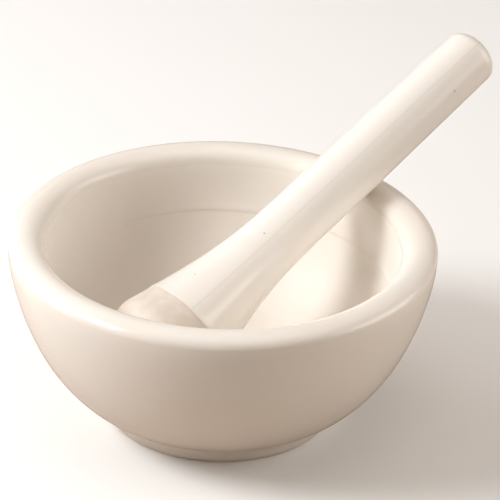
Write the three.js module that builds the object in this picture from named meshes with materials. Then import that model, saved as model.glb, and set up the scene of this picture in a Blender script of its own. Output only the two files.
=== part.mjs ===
// A porcelain mortar with its pestle leaning in the bowl.
// Millimetres, +Z up. The origin is the centre of the mortar's base, which stands on Z = 0.
import * as THREE from 'three';

// Mortar: foot and outside
const BASE_RADIUS = 35.4;
const BASE_EDGE_ROUND = 0.8;
const BASE_EDGE_FLARE = 0.27; // how far the foot's wall has widened by the top of that round
const FOOT_TOP_RADIUS = 37.7;
const FOOT_HEIGHT = 5.5;
const BODY_START_ANGLE = 27; // degrees above level, where the bowl leaves the foot
const BODY_START_PULL = 25.8; // how far the outside curve keeps to that angle
const BODY_END_ANGLE = 115; // the wall tucks in a little just under the rim
const BODY_END_PULL = 2.4;

// Mortar: rolled rim
const RIM_RADIUS = 65;
const RIM_UNDERSIDE_RADIUS = 64.8;
const RIM_UNDERSIDE_HEIGHT = 56.1;
const HEIGHT = 59.6;
const RIM_OUTER_ROUND = 5.3; // from the widest circle in to the top circle
const RIM_INNER_ROUND = 5.6; // from the top circle in to the mouth
const RIM_INNER_DROP = 4.6;

// Mortar: inside of the bowl
const FLOOR_HEIGHT = 10.5;
const FLOOR_PULL = 50; // how far the floor stays nearly level
const WALL_LEAN = 78; // degrees, slope of the inner wall below the rim
const WALL_PULL = 16;

// Pestle, measured along its own axis from the pole of the grinding end
const PESTLE_LENGTH = 155.5;
const HEAD_RADIUS = 17.8;
const HEAD_DOME_DEPTH = 12;
const HEAD_PAST_EQUATOR = 9.3; // degrees that the dome's curve runs past its widest circle
const FLARE_SLOPE = 0.245; // radius lost per millimetre where the head starts to narrow
const FLARE_START_PULL = 38;
const FLARE_END = 96.6;
const FLARE_END_PULL = 38.8;
const HANDLE_RADIUS = 9.5; // where the flare ends
const HANDLE_END_RADIUS = 9.1;
const HANDLE_DOME_DEPTH = 5.25;

// How the pestle leans: the pole of its grinding end, and the direction of its axis
const PESTLE_POLE = new THREE.Vector3(-25.15, -26.2, 25.3);
const PESTLE_HEADING = 42.1; // degrees from +X towards +Y
const PESTLE_ELEVATION = 25.6; // degrees above level

// Facets
const MORTAR_SEGMENTS = 64;
const PESTLE_SEGMENTS = 40;
const EDGE_STEPS = 2;
const FOOT_STEPS = 2;
const BODY_STEPS = 12;
const RIM_STEPS = 6;
const INSIDE_STEPS = 14;
const HEAD_STEPS = 8;
const FLARE_STEPS = 12;
const HANDLE_STEPS = 4;
const DOME_STEPS = 5;

const GLAZED_WHITE = 0xf3e8dc;
const GLAZE_ROUGHNESS = 0.12;

const radians = THREE.MathUtils.degToRad;

/** The point at a distance and angle from another, in the profile's plane of radius and height. */
function polar(from, angle, distance) {
  return new THREE.Vector2(
    from.x + distance * Math.cos(radians(angle)),
    from.y + distance * Math.sin(radians(angle)),
  );
}

/** Adds an elliptical arc to a profile, with its angles in degrees. */
function addArc(profile, centre, radius, height, from, to) {
  profile.absellipse(centre.x, centre.y, radius, height, radians(from), radians(to), to < from, 0);
}

/** Turns a profile into one closed solid about its axis. steps holds the facets of each stretch. */
function turned(profile, steps, segments) {
  const points = profile.curves.flatMap((curve, i) => curve.getPoints(steps[i]).slice(i === 0 ? 0 : 1));
  points[0].x = 0;
  points[points.length - 1].x = 0;
  const geometry = new THREE.LatheGeometry(points, segments);
  return geometry.rotateX(Math.PI / 2);
}

function porcelain() {
  return new THREE.MeshStandardMaterial({
    color: GLAZED_WHITE,
    roughness: GLAZE_ROUGHNESS,
    metalness: 0,
  });
}

function mortarProfile() {
  const footTop = new THREE.Vector2(FOOT_TOP_RADIUS, FOOT_HEIGHT);
  const underRim = new THREE.Vector2(RIM_UNDERSIDE_RADIUS, RIM_UNDERSIDE_HEIGHT);
  const bodyStart = polar(footTop, BODY_START_ANGLE, BODY_START_PULL);
  const bodyEnd = polar(underRim, BODY_END_ANGLE + 180, BODY_END_PULL);

  const topRadius = RIM_RADIUS - RIM_OUTER_ROUND;
  const outerCentre = new THREE.Vector2(topRadius, RIM_UNDERSIDE_HEIGHT);
  const innerCentre = new THREE.Vector2(topRadius, HEIGHT - RIM_INNER_DROP);
  const mouth = new THREE.Vector2(topRadius - RIM_INNER_ROUND, innerCentre.y);
  const wallEnd = polar(mouth, WALL_LEAN + 180, WALL_PULL);

  const profile = new THREE.Path();
  profile.moveTo(0, 0);
  profile.lineTo(BASE_RADIUS - BASE_EDGE_ROUND, 0);
  profile.quadraticCurveTo(BASE_RADIUS, 0, BASE_RADIUS + BASE_EDGE_FLARE, BASE_EDGE_ROUND);
  profile.lineTo(footTop.x, footTop.y);
  profile.bezierCurveTo(bodyStart.x, bodyStart.y, bodyEnd.x, bodyEnd.y, underRim.x, underRim.y);
  addArc(profile, outerCentre, RIM_OUTER_ROUND, HEIGHT - outerCentre.y, 0, 90);
  addArc(profile, innerCentre, RIM_INNER_ROUND, RIM_INNER_DROP, 90, 180);
  profile.bezierCurveTo(wallEnd.x, wallEnd.y, FLOOR_PULL, FLOOR_HEIGHT, 0, FLOOR_HEIGHT);
  return profile;
}

function pestleProfile() {
  const headCentre = new THREE.Vector2(0, HEAD_DOME_DEPTH);
  const domeStart = PESTLE_LENGTH - HANDLE_DOME_DEPTH;

  const profile = new THREE.Path();
  addArc(profile, headCentre, HEAD_RADIUS, HEAD_DOME_DEPTH, -90, HEAD_PAST_EQUATOR);
  const flareStart = profile.currentPoint;
  profile.bezierCurveTo(
    flareStart.x - FLARE_SLOPE * FLARE_START_PULL,
    flareStart.y + FLARE_START_PULL,
    HANDLE_RADIUS,
    FLARE_END - FLARE_END_PULL,
    HANDLE_RADIUS,
    FLARE_END,
  );
  profile.lineTo(HANDLE_END_RADIUS, domeStart);
  addArc(profile, new THREE.Vector2(0, domeStart), HANDLE_END_RADIUS, HANDLE_DOME_DEPTH, 0, 90);
  return profile;
}

function makeMortar() {
  const steps = [1, EDGE_STEPS, FOOT_STEPS, BODY_STEPS, 1, RIM_STEPS, RIM_STEPS, INSIDE_STEPS];
  const mortar = new THREE.Mesh(turned(mortarProfile(), steps, MORTAR_SEGMENTS), porcelain());
  mortar.name = 'mortar';
  return mortar;
}

function makePestle() {
  const steps = [HEAD_STEPS, FLARE_STEPS, HANDLE_STEPS, DOME_STEPS];
  const pestle = new THREE.Mesh(turned(pestleProfile(), steps, PESTLE_SEGMENTS), porcelain());
  pestle.name = 'pestle';
  return pestle;
}

/** Stands the pestle's own axis on its pole and tips it over the rim. */
function leaning(pestle) {
  const tilt = new THREE.Group();
  tilt.rotation.y = Math.PI / 2 - radians(PESTLE_ELEVATION);
  tilt.add(pestle);
  const heading = new THREE.Group();
  heading.rotation.z = radians(PESTLE_HEADING);
  heading.position.copy(PESTLE_POLE);
  heading.add(tilt);
  return heading;
}

const mortarAndPestle = new THREE.Group();
mortarAndPestle.add(makeMortar(), leaning(makePestle()));

export default mortarAndPestle;
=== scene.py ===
import math

import bpy
import numpy as np
from mathutils import Matrix, Quaternion, Vector


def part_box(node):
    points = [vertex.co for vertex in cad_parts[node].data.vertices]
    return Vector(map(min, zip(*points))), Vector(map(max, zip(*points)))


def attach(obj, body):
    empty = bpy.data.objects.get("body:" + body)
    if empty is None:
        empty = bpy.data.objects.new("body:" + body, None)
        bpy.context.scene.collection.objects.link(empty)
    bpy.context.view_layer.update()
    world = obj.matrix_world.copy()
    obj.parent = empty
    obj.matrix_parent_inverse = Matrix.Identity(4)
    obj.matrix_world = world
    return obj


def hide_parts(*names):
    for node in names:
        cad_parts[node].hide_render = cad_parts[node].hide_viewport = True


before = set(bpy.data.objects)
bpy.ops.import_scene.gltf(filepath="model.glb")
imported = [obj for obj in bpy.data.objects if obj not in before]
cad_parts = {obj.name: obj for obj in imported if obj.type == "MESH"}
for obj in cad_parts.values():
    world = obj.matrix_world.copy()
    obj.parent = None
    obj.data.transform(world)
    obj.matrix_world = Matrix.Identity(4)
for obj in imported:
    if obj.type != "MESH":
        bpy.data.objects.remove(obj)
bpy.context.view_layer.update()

MM = 0.001

# ---------------------------------------------------------------- the mortar's sizes, in metres
# Its profile is the CAD node's own, with the edges softened by glaze.
_, MORTAR_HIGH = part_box("mortar")
RIM_RADIUS = MORTAR_HIGH.x
HEIGHT = MORTAR_HIGH.z
BASE_RADIUS = 35.4 * MM
BASE_EDGE_ROUND = 0.8 * MM
FOOT_START = (BASE_RADIUS + BASE_EDGE_ROUND / 3, BASE_EDGE_ROUND)  # the foot ring's side, above that edge
FOOT_TOP = (37.7 * MM, 5.5 * MM)
BODY_START = (27, 25.8 * MM)  # how the outside leaves the foot: direction in degrees, and length of the pull
BODY_END = (295, 2.4 * MM)  # and how it leaves the rim, on its way down
UNDER_RIM = (64.8 * MM, 56.1 * MM)
RIM_OUTER_ROUND = 5.3 * MM
RIM_INNER_ROUND = 5.6 * MM
RIM_INNER_DROP = 4.6 * MM
LIP_END = math.radians(170.1)  # on the lip's round, where it already has the wall's slope
WALL_START = (258, 16.8 * MM)  # how the inner wall leaves the lip, in the same terms
FLOOR_HEIGHT = 10.5 * MM
FLOOR_PULL = 50 * MM
GLAZE_SOFTENING = 0.55 * MM  # radius over which glaze rounds an edge off
MORTAR_INSET = 0.10 * MM  # keeps the uneven surface inside the CAD node's box
UNEVENNESS = 0.10 * MM  # of the radius, around the axis
UNEVEN_WAVES = ((2, 3, 5), (0.7, 2.9, 5.1))  # how many to a turn, and their phases in radians
UNEVEN_RADIUS = 30 * MM  # nearer the axis than this, the unevenness dies away
MORTAR_SEGMENTS = 256

# Its glaze
GLOSS_HEIGHT = 54.6 * MM  # inside the bowl, the gloss of the lip dies away here
GLOSS_FADE = 9  # how much more slowly than at a plain glaze edge
RING_HEIGHT = 40.4 * MM  # and here a fine step runs round the bowl
RING_WANDER = 0.18 * MM
RING_WAVES = ((3, 7, 13), (0.4, 1.9, 4.2))
RING_STEP = (-0.25 * MM, 0.35 * MM)  # from above the ring to below it, the heights that the step takes up
RING_STEP_RADIUS = 20 * MM  # nearer the axis than this, the step's depth dies away
RING_MIDDLE = math.radians(52)  # the side of the bowl on which the step is plainest
RING_FADE = (math.radians(85), math.radians(58))  # how far round from there it is gone, and whole
# The ring's dark line is painted shade: the shade of the step, painted into the colour, plainest at the back
# of the bowl.
PAINTED_RING_SHADE = 0.6  # how plain the dark line along the step is, at the back
PAINTED_RING_SHADE_FADE = (0.3, 0.9)  # sines of the angles at which that line is gone, and whole
FOOT_GLAZE_EDGE = 1.2 * MM
FOOT_RING_WIDTH = 2 * MM  # beyond the base's radius
WELL_GLAZED = 5 * MM  # any distance far from a glaze edge
GLAZE_THICKNESS = 0.16 * MM
ROLL_HEIGHT = 0.13 * MM  # the glaze draws up into a low roll just before it ends
ROLL_OFFSET = 1.0 * MM
ROLL_WIDTH = 0.75 * MM

# ---------------------------------------------------------------- the pestle's sizes, in metres
# They lie along its own axis, from the pole of the grinding end.
HEAD_RADIUS = 17.8 * MM
HEAD_DOME_DEPTH = 12.0 * MM
HEAD_PAST_EQUATOR = math.radians(9.3)
FLARE_SLOPE = 0.245
FLARE_START_PULL = 38.0 * MM
FLARE_END = 96.6 * MM
FLARE_END_PULL = 38.8 * MM
HANDLE_RADIUS = 9.5 * MM
HANDLE_END_RADIUS = 9.1 * MM
HANDLE_DOME_DEPTH = 5.25 * MM
PESTLE_SOFTENING = 0.3 * MM
PESTLE_INSET = 0.12 * MM  # keeps the seam and the glaze's roll inside the CAD node's box
PESTLE_SEGMENTS = 192
TIP_RADIUS = 6 * MM  # nearer the axis than this, the pestle's relief dies away

# Its glaze and its mould seam
PESTLE_GLAZE_EDGE = 21.3 * MM  # the grinding end is bare up to here
PESTLE_EDGE_WANDER = 0.35 * MM
PESTLE_EDGE_WAVES = ((1, 3, 8), (2.0, 0.3, 4.4))
PESTLE_STEP = (-0.2 * MM, 0.3 * MM)
PESTLE_ROLL = 0.6  # of the height of the bowl's roll
SEAM_ANGLE = math.radians(125.0)  # the seam that the camera sees, around the axis
SEAM_HEIGHT = 0.015 * MM
SEAM_WIDTH = 0.35 * MM
SEAM_REACH = 5 * MM  # how far from the seam the distance to it is kept

# ---------------------------------------------------------------- profiles
STRETCH_STEPS = 200  # points in each stretch of an outline, before they are spread evenly
FINE_SPACING = 0.3 * MM  # between an outline's points while its corners are rounded off
THINNING = 2  # and one in this many is kept


def stretch():
    """How far along a stretch each of its points is, without its first one."""
    return np.linspace(0, 1, STRETCH_STEPS + 1)[1:, None]


def curve(p0, p1, p2, p3):
    """Points along a cubic curve."""
    t = stretch()
    p0, p1, p2, p3 = map(np.array, (p0, p1, p2, p3))
    return (1 - t) ** 3 * p0 + 3 * (1 - t) ** 2 * t * p1 + 3 * (1 - t) * t**2 * p2 + t**3 * p3


def line(p0, p1):
    t = stretch()
    return (1 - t) * np.array(p0) + t * np.array(p1)


def arc(centre, radius, height, start, end):
    """Points along an elliptical arc, with its angles in radians."""
    a = start + (end - start) * stretch()
    return np.hstack([centre[0] + radius * np.cos(a), centre[1] + height * np.sin(a)])


def toward(point, degrees, distance):
    a = math.radians(degrees)
    return (point[0] + distance * math.cos(a), point[1] + distance * math.sin(a))


def evenly(points, spacing):
    """The same outline with its points a fixed distance apart."""
    run = np.r_[0, np.cumsum(np.hypot(*np.diff(points, axis=0).T))]
    want = np.linspace(0, run[-1], round(run[-1] / spacing) + 1)
    return np.stack([np.interp(want, run, points[:, i]) for i in (0, 1)], 1)


def softened(points, sigma):
    """Rounds an outline's corners off. Its two ends, on the axis, stay where they are."""
    points = evenly(points, FINE_SPACING)
    reach = int(4 * sigma / FINE_SPACING)
    weights = np.exp(-0.5 * (np.arange(-reach, reach + 1) * FINE_SPACING / sigma) ** 2)
    weights /= weights.sum()
    mirror = np.array([-1.0, 1.0])  # past the axis, the outline is its mirror image
    before = points[reach:0:-1] * mirror
    after = points[-2 : -reach - 2 : -1] * mirror
    padded = np.vstack([before, points, after])
    smooth = np.stack([np.convolve(padded[:, i], weights, mode="valid") for i in (0, 1)], 1)
    smooth[0, 0] = smooth[-1, 0] = 0.0
    return np.vstack([smooth[:-1:THINNING], smooth[-1:]])


def mortar_outline():
    """From the middle of the base, up the outside, over the rim and down the inside."""
    base_edge = (BASE_RADIUS - BASE_EDGE_ROUND, 0.0)
    base_corner = (BASE_RADIUS, 0.0)
    body_start = toward(FOOT_TOP, *BODY_START)
    body_end = toward(UNDER_RIM, *BODY_END)
    top_radius = RIM_RADIUS - RIM_OUTER_ROUND
    outer_centre = (top_radius, UNDER_RIM[1])
    inner_centre = (top_radius, HEIGHT - RIM_INNER_DROP)
    lip = arc(inner_centre, RIM_INNER_ROUND, RIM_INNER_DROP, math.pi / 2, LIP_END)
    wall_start = toward(lip[-1], *WALL_START)
    return np.vstack(
        [
            [(0.0, 0.0)],
            line((0.0, 0.0), base_edge),
            curve(base_edge, base_corner, base_corner, FOOT_START),
            line(FOOT_START, FOOT_TOP),
            curve(FOOT_TOP, body_start, body_end, UNDER_RIM),
            arc(outer_centre, RIM_OUTER_ROUND, HEIGHT - outer_centre[1], 0, math.pi / 2),
            lip,
            curve(lip[-1], wall_start, (FLOOR_PULL, FLOOR_HEIGHT), (0.0, FLOOR_HEIGHT)),
        ]
    )


def pestle_outline(length):
    """From the pole of the grinding end to the pole of the handle's end."""
    head_centre = (0.0, HEAD_DOME_DEPTH)
    head = arc(head_centre, HEAD_RADIUS, HEAD_DOME_DEPTH, -math.pi / 2, HEAD_PAST_EQUATOR)
    flare_start = head[-1]
    first_pull = flare_start + np.array([-FLARE_SLOPE, 1.0]) * FLARE_START_PULL
    second_pull = (HANDLE_RADIUS, FLARE_END - FLARE_END_PULL)
    dome_start = length - HANDLE_DOME_DEPTH
    return np.vstack(
        [
            [(0.0, 0.0)],
            head,
            curve(flare_start, first_pull, second_pull, (HANDLE_RADIUS, FLARE_END)),
            line((HANDLE_RADIUS, FLARE_END), (HANDLE_END_RADIUS, dome_start)),
            arc((0.0, dome_start), HANDLE_END_RADIUS, HANDLE_DOME_DEPTH, 0, math.pi / 2),
        ]
    )


# ---------------------------------------------------------------- meshes
POLE_CLEARANCE = 0.01 * MM  # the least radius of a ring of points
VERTEX_DECIMALS = 6  # of a metre, to which two CAD vertices in one place agree


def in_scene(name, data):
    obj = bpy.data.objects.new(name, data)
    bpy.context.scene.collection.objects.link(obj)
    return obj


def revolved(name, outline, segments, shape, attributes):
    """A closed solid of revolution about Z. For each point's radius, height and angle, shape gives its own
    radius and height. Each attribute is a function of the same three, kept on the mesh as a float."""
    angles = np.arange(segments) * (2 * math.pi / segments)
    r, a = np.meshgrid(outline[1:-1, 0], angles, indexing="ij")
    z = np.meshgrid(outline[1:-1, 1], angles, indexing="ij")[0]
    radius, height = shape(r, z, a)
    body = np.stack([radius * np.cos(a), radius * np.sin(a), height], -1).reshape(-1, 3)
    poles = [[0.0, 0.0, outline[0, 1]], [0.0, 0.0, outline[-1, 1]]]
    here = np.arange(len(body)).reshape(r.shape)
    beside = np.roll(here, -1, axis=1)
    quads = np.stack([here[:-1], beside[:-1], beside[1:], here[1:]], -1).reshape(-1, 4)
    first_pole, last_pole = len(body), len(body) + 1
    fans = [(first_pole, b, c) for b, c in zip(beside[0].tolist(), here[0].tolist())]
    fans += [(last_pole, b, c) for b, c in zip(here[-1].tolist(), beside[-1].tolist())]
    mesh = bpy.data.meshes.new(name)
    mesh.from_pydata(body.tolist() + poles, [], quads.tolist() + fans)
    mesh.update()
    for label, values in attributes.items():
        field = values(r, z, a).reshape(-1)
        data = mesh.attributes.new(label, "FLOAT", "POINT").data
        data.foreach_set("value", np.r_[field, field[0], field[-1]].astype(np.float32))
    mesh.shade_smooth()
    return in_scene(name, mesh)


def smooth_step(value, low, high):
    t = np.clip((value - low) / (high - low), 0, 1)
    return t * t * (3 - 2 * t)


def wobble(angle, counts, phases):
    """A slow wave around the axis, between about -1 and 1."""
    return sum(np.sin(n * angle + p) for n, p in zip(counts, phases)) / len(counts)


def off_axis(r, radius):
    """1 beyond this radius, and down to 0 on the axis."""
    return np.minimum(1, r / radius)


def glaze_roll(height):
    """The low roll of glaze just above its edge, where height is counted from that edge."""
    return ROLL_HEIGHT * np.exp(-0.5 * ((height - ROLL_OFFSET) / ROLL_WIDTH) ** 2)


def make_mortar():
    outline = softened(mortar_outline(), GLAZE_SOFTENING)
    heights = outline[1:-1, 1:]
    in_bowl = np.arange(len(heights))[:, None] >= heights.argmax()

    def ring_height(a):
        return RING_HEIGHT + RING_WANDER * wobble(a, *RING_WAVES)

    def ring_strength(a):
        """The step shows at the back and right of the bowl, and is rubbed away elsewhere."""
        return smooth_step(np.cos(a - RING_MIDDLE), math.cos(RING_FADE[0]), math.cos(RING_FADE[1]))

    def shape(r, z, a):
        above = z - ring_height(a)
        sunk = GLAZE_THICKNESS * smooth_step(-above, *RING_STEP) * off_axis(r, RING_STEP_RADIUS)
        r = r + (sunk - glaze_roll(above)) * in_bowl * ring_strength(a)
        lean = UNEVENNESS * wobble(a, *UNEVEN_WAVES)
        r = r - MORTAR_INSET + np.where(in_bowl, -lean, lean) * off_axis(r, UNEVEN_RADIUS)
        return np.maximum(r, POLE_CLEARANCE), z

    def over_foot_edge(r, z):
        return np.where(r < BASE_RADIUS + FOOT_RING_WIDTH, z - FOOT_GLAZE_EDGE, WELL_GLAZED)

    def glaze(r, z, a):
        return np.where(in_bowl, (z - GLOSS_HEIGHT) / GLOSS_FADE, over_foot_edge(r, z)) / MM

    def edge(r, z, a):
        return np.where(in_bowl, z - ring_height(a), over_foot_edge(r, z)) / MM

    def edge_line_and_ring_shade(r, z, a):
        # Inside the bowl this gives painted shade: a dark line along the ring's step, plainest at the back,
        # where the step's shade falls. At the foot it is a dark line along the glaze edge.
        back = smooth_step(np.sin(a), *PAINTED_RING_SHADE_FADE)
        return np.where(in_bowl, PAINTED_RING_SHADE * back * ring_strength(a), 1.0)

    attributes = {"glazed": glaze, "edge": edge, "edge_line_and_ring_shade": edge_line_and_ring_shade}
    return revolved("mortar_body", outline, MORTAR_SEGMENTS, shape, attributes)


def axis_frame(node):
    """The pole and axes, as a matrix, and the length of a turned CAD node, from its own vertices. Its long
    axis is the one that they spread along."""
    points = {tuple(round(c, VERTEX_DECIMALS) for c in v.co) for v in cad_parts[node].data.vertices}
    points = np.array(sorted(points))
    middle = points.mean(0)
    along = np.linalg.eigh(np.cov((points - middle).T))[1][:, 2]
    along *= np.sign(along[2])
    places = (points - middle) @ along
    pole = middle + along * places.min()
    level = np.cross([0.0, 0.0, 1.0], along)
    level /= np.linalg.norm(level)
    up = np.cross(along, level)
    turn = Matrix(np.column_stack([level, up, along]).tolist()).to_4x4()
    return Matrix.Translation(Vector(pole)) @ turn, float(places.max() - places.min())


def make_pestle():
    place, length = axis_frame("pestle")
    outline = softened(pestle_outline(length), PESTLE_SOFTENING)

    def past_edge(z, a):
        return z - PESTLE_GLAZE_EDGE - PESTLE_EDGE_WANDER * wobble(a, *PESTLE_EDGE_WAVES)

    def from_seam(r, a):
        """The distance around to the nearer of the two seams, which lie opposite each other."""
        return ((a - SEAM_ANGLE + math.pi / 2) % math.pi - math.pi / 2) * r

    def shape(r, z, a):
        past = past_edge(z, a)
        bare = smooth_step(-past, *PESTLE_STEP)
        relief = off_axis(r, TIP_RADIUS)
        r = r - (PESTLE_INSET + GLAZE_THICKNESS * bare - PESTLE_ROLL * glaze_roll(past)) * relief
        ridge = np.exp(-0.5 * (from_seam(r, a) / SEAM_WIDTH) ** 2)
        return r + SEAM_HEIGHT * ridge * (1 - bare) * relief, z

    def glaze(r, z, a):
        return past_edge(z, a) / MM

    def seam(r, z, a):
        return np.clip(from_seam(r, a), -SEAM_REACH, SEAM_REACH) / MM

    def edge_line_and_ring_shade(r, z, a):
        return np.ones_like(r)

    attributes = {"glazed": glaze, "edge": glaze, "seam": seam, "edge_line_and_ring_shade": edge_line_and_ring_shade}
    pestle = revolved("pestle_body", outline, PESTLE_SEGMENTS, shape, attributes)
    pestle.data.transform(place)
    return pestle


# ---------------------------------------------------------------- materials
class Nodes:
    """A material's node tree, built one named node at a time."""

    def __init__(self, name):
        self.material = bpy.data.materials.new(name)
        self.material.use_nodes = True
        self.tree = self.material.node_tree
        self.tree.nodes.clear()

    def add(self, kind, settings=None, **inputs):
        node = self.tree.nodes.new("ShaderNode" + kind)
        for key, value in (settings or {}).items():
            setattr(node, key, value)
        for key, value in inputs.items():
            self.put(node, key.replace("_", " "), value)
        return node

    def put(self, node, socket, value):
        target = node.inputs[socket]
        if isinstance(value, bpy.types.NodeSocket):
            self.tree.links.new(value, target)
        else:
            target.default_value = value

    def math(self, operation, a, b=0.0):
        node = self.add("Math", {"operation": operation})
        self.put(node, 0, a)
        self.put(node, 1, b)
        return node.outputs[0]

    def remap(self, value, low, high, to_low=0.0, to_high=1.0):
        node = self.add("MapRange", {"interpolation_type": "SMOOTHSTEP"})
        for i, v in enumerate((value, low, high, to_low, to_high)):
            self.put(node, i, v)
        return node.outputs[0]

    def mix(self, factor, a, b, blend="MIX"):
        """Mixes two colours, which are the node's sockets 6 and 7."""
        node = self.add("Mix", {"data_type": "RGBA", "blend_type": blend})
        self.put(node, 0, factor)
        self.put(node, 6, a)
        self.put(node, 7, b)
        return node.outputs[2]

    def mix_number(self, factor, a, b):
        """Mixes two numbers, which are the node's sockets 2 and 3."""
        node = self.add("Mix", {"data_type": "FLOAT"})
        self.put(node, 0, factor)
        self.put(node, 2, a)
        self.put(node, 3, b)
        return node.outputs[0]

    def attribute(self, name):
        return self.add("Attribute", {"attribute_name": name}).outputs["Fac"]

    def object_place(self):
        return self.add("TexCoord").outputs["Object"]

    def noise(self, place, scale, detail=3.0, rough=0.5):
        inputs = {"Vector": place, "Scale": scale, "Detail": detail, "Roughness": rough}
        return self.add("TexNoise", {"noise_dimensions": "3D"}, **inputs).outputs[0]

    def blotches(self, place, scale, low, high, detail=3.0, rough=0.5, to=(0.0, 1.0)):
        """Noise that is stretched from to[0], where it is at low or less, to to[1], where it is at high."""
        return self.remap(self.noise(place, scale, detail, rough), low, high, *to)

    def finish(self, **inputs):
        """Adds the shader and gives the material back."""
        shader = self.add("BsdfPrincipled", **inputs)
        self.add("OutputMaterial", Surface=shader.outputs[0])
        return self.material


# The colours of each finish are its plain one, and the one that it is clouded or mottled with.
BOWL_GLAZE = ((0.87, 0.815, 0.745, 1), (0.86, 0.815, 0.755, 1))
BOWL_BISQUE = ((0.86, 0.805, 0.74, 1), (0.83, 0.765, 0.69, 1))
# The pestle's glaze is painted lighter than the bowl's: painted light, standing in for more light on the
# shaft.
PESTLE_GLAZE = ((0.89, 0.845, 0.785, 1), (0.88, 0.84, 0.79, 1))
TIP_BISQUE = ((0.79, 0.71, 0.635, 1), (0.68, 0.59, 0.505, 1))
SPECK = (0.30, 0.22, 0.15, 1)
# Along the bowl's ring step, at the back, this darkening is painted shade.
EDGE_SHADE = (0.84, 0.79, 0.74, 1)  # what the colour is multiplied by where the glaze ends, and along a seam
GLAZE_FADE = 0.12  # mm to each side of a glaze edge
EDGE_LINE = (0.10, 0.45)  # mm from the edge at which its dark line is whole, and gone
EDGE_LINE_STRENGTH = 0.55
SEAM_LINE = (0.1, 0.5)  # and the same for the seam
SEAM_LINE_STRENGTH = 0.30
SEAM_SWAY = 0.3  # mm that the seam's line wanders
SPECK_CELLS = 95.0  # to a metre
SPECK_EDGE = (0.02, 0.048)  # shares of a cell at which a speck is whole, and gone
SPECK_STRENGTH = 0.4
SPECK_DEPTH = 0.12  # mm, as are the next two
PEEL_DEPTH = 0.04  # of the glaze's slow waves
PORE_DEPTH = 0.05  # of the bare part's pores
PORCELAIN_IOR = 1.52
SCATTER_COLOUR = (1.0, 0.7, 0.5)  # how much farther red light goes inside than blue
SCATTER_DEPTH = 3 * MM
SCATTER_SHARE = 0.12


def specks(n, place, share):
    """1 inside small round specks, and 0 elsewhere. share is the part of the cells that has one."""
    cells = n.add("TexVoronoi", {"feature": "F1"}, Vector=place, Scale=SPECK_CELLS)
    near = n.remap(cells.outputs["Distance"], *SPECK_EDGE, 1.0, 0.0)
    red = n.add("SeparateColor", Color=cells.outputs["Color"]).outputs[0]
    return n.math("MULTIPLY", near, n.math("LESS_THAN", red, share))


def shaded(n, colour, strength):
    """The colour, darkened a little as far as strength says."""
    return n.mix(strength, colour, n.mix(1.0, colour, EDGE_SHADE, "MULTIPLY"))


def porcelain(
    name,
    speck_share,
    glaze_colours,
    glaze_roughness,
    bare_colours,
    bare_roughness,
    bare_grain,
    ragged_edge=0.0,
    seam=False,
):
    """Glazed porcelain that turns into bare, matt porcelain where the mesh's attribute 'glazed' is below 0.
    A dark line lies where 'edge' is 0, as plain as 'edge_line_and_ring_shade' says, and with seam also where 'seam' is 0.
    speck_share is the part of the cells with a speck. bare_grain, from 0 to 1, is how plainly the bare
    part's mottling and pores show, and ragged_edge is in mm."""
    n = Nodes(name)
    place = n.object_place()
    jitter = n.math("SUBTRACT", n.noise(place, scale=900.0, detail=2.0), 0.5)
    ragged = n.math("MULTIPLY", jitter, ragged_edge)
    glazed = n.remap(n.math("ADD", n.attribute("glazed"), ragged), -GLAZE_FADE, GLAZE_FADE)
    from_edge = n.math("ABSOLUTE", n.math("ADD", n.attribute("edge"), ragged))
    speck = specks(n, place, speck_share)

    cloud = n.blotches(place, scale=32.0, low=0.35, high=0.65)
    glaze = n.mix(cloud, *glaze_colours)
    glaze = n.mix(n.math("MULTIPLY", speck, SPECK_STRENGTH), glaze, SPECK)

    mottle = n.blotches(place, scale=260.0, low=0.38, high=0.66, detail=5.0, rough=0.6)
    patch = n.blotches(place, scale=90.0, low=0.42, high=0.62)
    grain = n.blotches(place, scale=2600.0, low=0.40, high=0.70, detail=2.0)
    bare, bare_dark = bare_colours
    for layer, strength in ((mottle, 0.5), (patch, 0.6), (grain, 0.2)):
        bare = n.mix(n.math("MULTIPLY", layer, strength * bare_grain), bare, bare_dark)

    # The dark line at a glaze edge. Along the bowl's ring step it is painted shade, plainest at the back.
    edge_and_ring_shade = n.remap(from_edge, *EDGE_LINE, EDGE_LINE_STRENGTH, 0.0)
    edge_and_ring_shade = n.math("MULTIPLY", edge_and_ring_shade, n.attribute("edge_line_and_ring_shade"))
    colour = shaded(n, n.mix(glazed, bare, glaze), edge_and_ring_shade)
    if seam:
        sway = n.math("MULTIPLY", n.math("SUBTRACT", cloud, 0.5), SEAM_SWAY)
        from_seam = n.math("ABSOLUTE", n.math("ADD", n.attribute("seam"), sway))
        at_seam = n.remap(from_seam, *SEAM_LINE, SEAM_LINE_STRENGTH, 0.0)
        colour = shaded(n, colour, n.math("MULTIPLY", at_seam, glazed))

    smudge = n.blotches(place, scale=55.0, low=0.4, high=0.75, detail=4.0, to=glaze_roughness)
    bare_rough = n.remap(mottle, 0.0, 1.0, *bare_roughness)

    peel = n.math("MULTIPLY", n.noise(place, scale=170.0, detail=2.0), PEEL_DEPTH)
    glaze_height = n.math("SUBTRACT", peel, n.math("MULTIPLY", speck, SPECK_DEPTH))
    pores = n.noise(place, scale=1500.0, detail=4.0, rough=0.6)
    bare_height = n.math("MULTIPLY", pores, PORE_DEPTH * bare_grain)
    height = n.mix_number(glazed, bare_height, glaze_height)
    bump = n.add("Bump", Height=height, Strength=1.0, Distance=MM)

    return n.finish(
        Base_Color=colour,
        Roughness=n.mix_number(glazed, bare_rough, smudge),
        Normal=bump.outputs[0],
        IOR=PORCELAIN_IOR,
        Subsurface_Weight=SCATTER_SHARE,
        Subsurface_Radius=SCATTER_COLOUR,
        Subsurface_Scale=SCATTER_DEPTH,
    )


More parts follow.
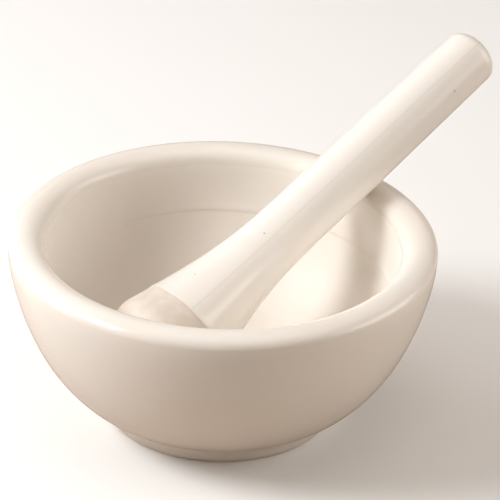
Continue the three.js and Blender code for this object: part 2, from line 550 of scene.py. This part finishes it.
def floor_material(name, pale, paler):
    n = Nodes(name)
    cloud = n.blotches(n.object_place(), scale=3.0, low=0.3, high=0.7, detail=2.0)
    return n.finish(Base_Color=n.mix(cloud, pale, paler), Roughness=0.9)


# ---------------------------------------------------------------- the two pieces
def dress(piece, node, material):
    piece.data.materials.append(material)
    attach(piece, node)
    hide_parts(node)


mortar_porcelain = porcelain(
    "mortar_porcelain",
    speck_share=0.12,
    glaze_colours=BOWL_GLAZE,
    glaze_roughness=(0.14, 0.20),
    bare_colours=BOWL_BISQUE,
    bare_roughness=(0.50, 0.58),
    bare_grain=0.15,
)
pestle_porcelain = porcelain(
    "pestle_porcelain",
    speck_share=0.9,
    glaze_colours=PESTLE_GLAZE,
    glaze_roughness=(0.20, 0.27),
    bare_colours=TIP_BISQUE,
    bare_roughness=(0.52, 0.68),
    bare_grain=1.0,
    ragged_edge=0.35,
    seam=True,
)
dress(make_mortar(), "mortar", mortar_porcelain)
dress(make_pestle(), "pestle", pestle_porcelain)

# ---------------------------------------------------------------- stage, lights, camera
FLOOR_REACH = 4.0
UNDER_FLOOR = -0.5 * MM
PALE_FLOOR = ((0.88, 0.88, 0.87, 1), (0.90, 0.90, 0.89, 1))
GREY_FLOOR = ((0.48, 0.40, 0.34, 1), (0.50, 0.42, 0.36, 1))

LIGHT_AIM = Vector((0, 0, 0.04))
LIGHT_MIDDLE = (0.5, 0.5, 0)  # in a light's own coordinates, which run from 0 to 1 across it
FADE_START, FADE_END = 0.12, 0.5  # from the middle of a light, as shares of its width
FADE_PEAK = 3.0  # makes up for the dark edges, so that a light gives about its stated power
SKY_COLOUR = (1, 0.77, 0.55, 1)
SKY_STRENGTH = 0.12

CAMERA_PLACE = Vector((0, -0.81743, 0.50051))
CAMERA_AIM = Vector((0.00815, 0, 0.05396))
CAMERA_ROLL = math.radians(2.143)
LENS = 221.9  # mm, as is the sensor
SENSOR_WIDTH = 36
CLIP_NEAR, CLIP_FAR = 0.05, 20


def make_sheet(name, height, material):
    low, high = -FLOOR_REACH, FLOOR_REACH
    corners = [(low, low, height), (high, low, height), (high, high, height), (low, high, height)]
    mesh = bpy.data.meshes.new(name)
    mesh.from_pydata(corners, [], [(0, 1, 2, 3)])
    mesh.materials.append(material)
    sheet = in_scene(name, mesh)
    return sheet


def make_floor():
    """A pale floor. What it throws back onto the porcelain comes from a greyer sheet just under it."""
    floor = make_sheet("floor", 0.0, floor_material("pale_floor", *PALE_FLOOR))
    floor.visible_diffuse = False
    floor.visible_glossy = False
    floor.visible_shadow = False
    bounce = make_sheet("floor_bounce", UNDER_FLOOR, floor_material("grey_floor", *GREY_FLOOR))
    bounce.visible_camera = False


def looking(direction):
    """The turn that points a light or a camera this way."""
    return direction.to_track_quat("-Z", "Y")


def soft_box(name, azimuth, elevation, distance, size, power, colour):
    """An area light that fades towards its edges, aimed at the bowl. Azimuth, counted from +X towards +Y,
    and elevation are in degrees, distance and size in metres, and power in watts."""
    data = bpy.data.lights.new(name, "AREA")
    data.shape = "RECTANGLE"
    data.size, data.size_y = size
    data.energy = power
    data.color = colour
    data.use_nodes = True
    nodes, links = data.node_tree.nodes, data.node_tree.links
    across = nodes.new("ShaderNodeNewGeometry").outputs["Parametric"]
    from_middle = nodes.new("ShaderNodeVectorMath")
    from_middle.operation = "DISTANCE"
    from_middle.inputs[1].default_value = LIGHT_MIDDLE
    fade = nodes.new("ShaderNodeMapRange")
    fade.interpolation_type = "SMOOTHSTEP"
    for i, value in enumerate((FADE_START, FADE_END, FADE_PEAK, 0.0), 1):
        fade.inputs[i].default_value = value
    links.new(across, from_middle.inputs[0])
    links.new(from_middle.outputs["Value"], fade.inputs[0])
    links.new(fade.outputs[0], nodes["Emission"].inputs["Strength"])
    light = in_scene(name, data)
    a, e = math.radians(azimuth), math.radians(elevation)
    away = Vector((math.cos(a) * math.cos(e), math.sin(a) * math.cos(e), math.sin(e)))
    light.location = LIGHT_AIM + away * distance
    light.rotation_mode = "QUATERNION"
    light.rotation_quaternion = looking(-away)


def make_lights():
    soft_box("key", 192, 40, 0.9, (0.55, 0.55), 6.7, (0.97, 0.99, 1.0))
    soft_box("high_left", 158, 40, 1.2, (0.8, 0.6), 1.8, (1, 0.97, 0.93))
    soft_box("right", 0, 20, 1.2, (1.8, 1.2), 9.2, (1, 0.96, 0.92))
    soft_box("back_left", 150, 12, 1.2, (1.0, 0.4), 5.0, (0.95, 0.96, 1.0))
    soft_box("left", 180, 8, 1.2, (0.7, 0.25), 1.9, (1, 0.95, 0.95))
    soft_box("back", 125, 45, 1.2, (1.0, 0.8), 0.8, (1, 0.85, 0.9))
    soft_box("overhead", 0, 88, 1.2, (1.6, 1.6), 3.0, (1, 0.9, 0.84))
    soft_box("front_left", 220, 12, 1.2, (1.0, 1.0), 1.5, (1, 0.97, 0.95))
    world = bpy.data.worlds.new("studio")
    world.use_nodes = True
    sky = world.node_tree.nodes["Background"]
    sky.inputs["Color"].default_value = SKY_COLOUR
    sky.inputs["Strength"].default_value = SKY_STRENGTH
    bpy.context.scene.world = world


def make_camera():
    data = bpy.data.cameras.new("camera")
    data.sensor_width = SENSOR_WIDTH
    data.lens = LENS
    data.clip_start, data.clip_end = CLIP_NEAR, CLIP_FAR
    camera = in_scene("camera", data)
    camera.location = CAMERA_PLACE
    camera.rotation_mode = "QUATERNION"
    camera.rotation_quaternion = looking(CAMERA_AIM - CAMERA_PLACE) @ Quaternion((0, 0, 1), CAMERA_ROLL)
    bpy.context.scene.camera = camera


make_floor()
make_lights()
make_camera()
bpy.context.scene.view_settings.view_transform = "Standard"
bpy.context.scene.view_settings.look = "None"
